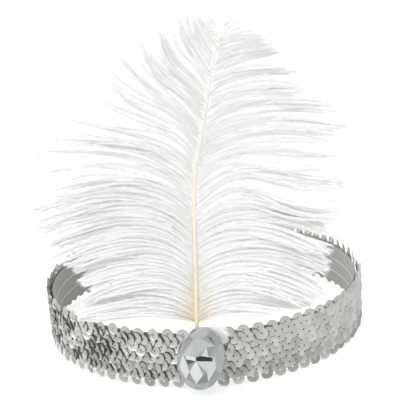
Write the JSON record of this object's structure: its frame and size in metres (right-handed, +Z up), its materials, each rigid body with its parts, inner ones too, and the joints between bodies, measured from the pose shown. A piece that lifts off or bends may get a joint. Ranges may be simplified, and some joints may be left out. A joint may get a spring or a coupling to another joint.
{
  "type": "flapper feather headband",
  "caption": "Stretch headband of zigzag sequins with an oval faceted stone and an upright ostrich plume at the front, worn round the head.",
  "frame": {"origin": "on the surface that the loop stands on, in the middle of the part's footprint", "axes": "+Z up along the loop's axis; the stone and the plume are at the front, towards -Y; +X to the right seen from the front"},
  "size_m": [0.1734, 0.1862, 0.1696],
  "materials": {
    "elastic": "matt grey knitted elastic with two white lines on its inside",
    "sequins": "silver metallised plastic film, cupped discs",
    "stone": "clear faceted acrylic with a silver mirror back",
    "quill": "cream horn, golden at the foot",
    "barbs": "soft white ostrich barbs with fine barbules"
  },
  "bodies": {
    "root": {"elastic_band": "elastic", "sequin_rows": "sequins", "stone": "stone", "quill": "quill", "barbs_left": "barbs", "barbs_right": "barbs"}
  },
  "joints": []
}
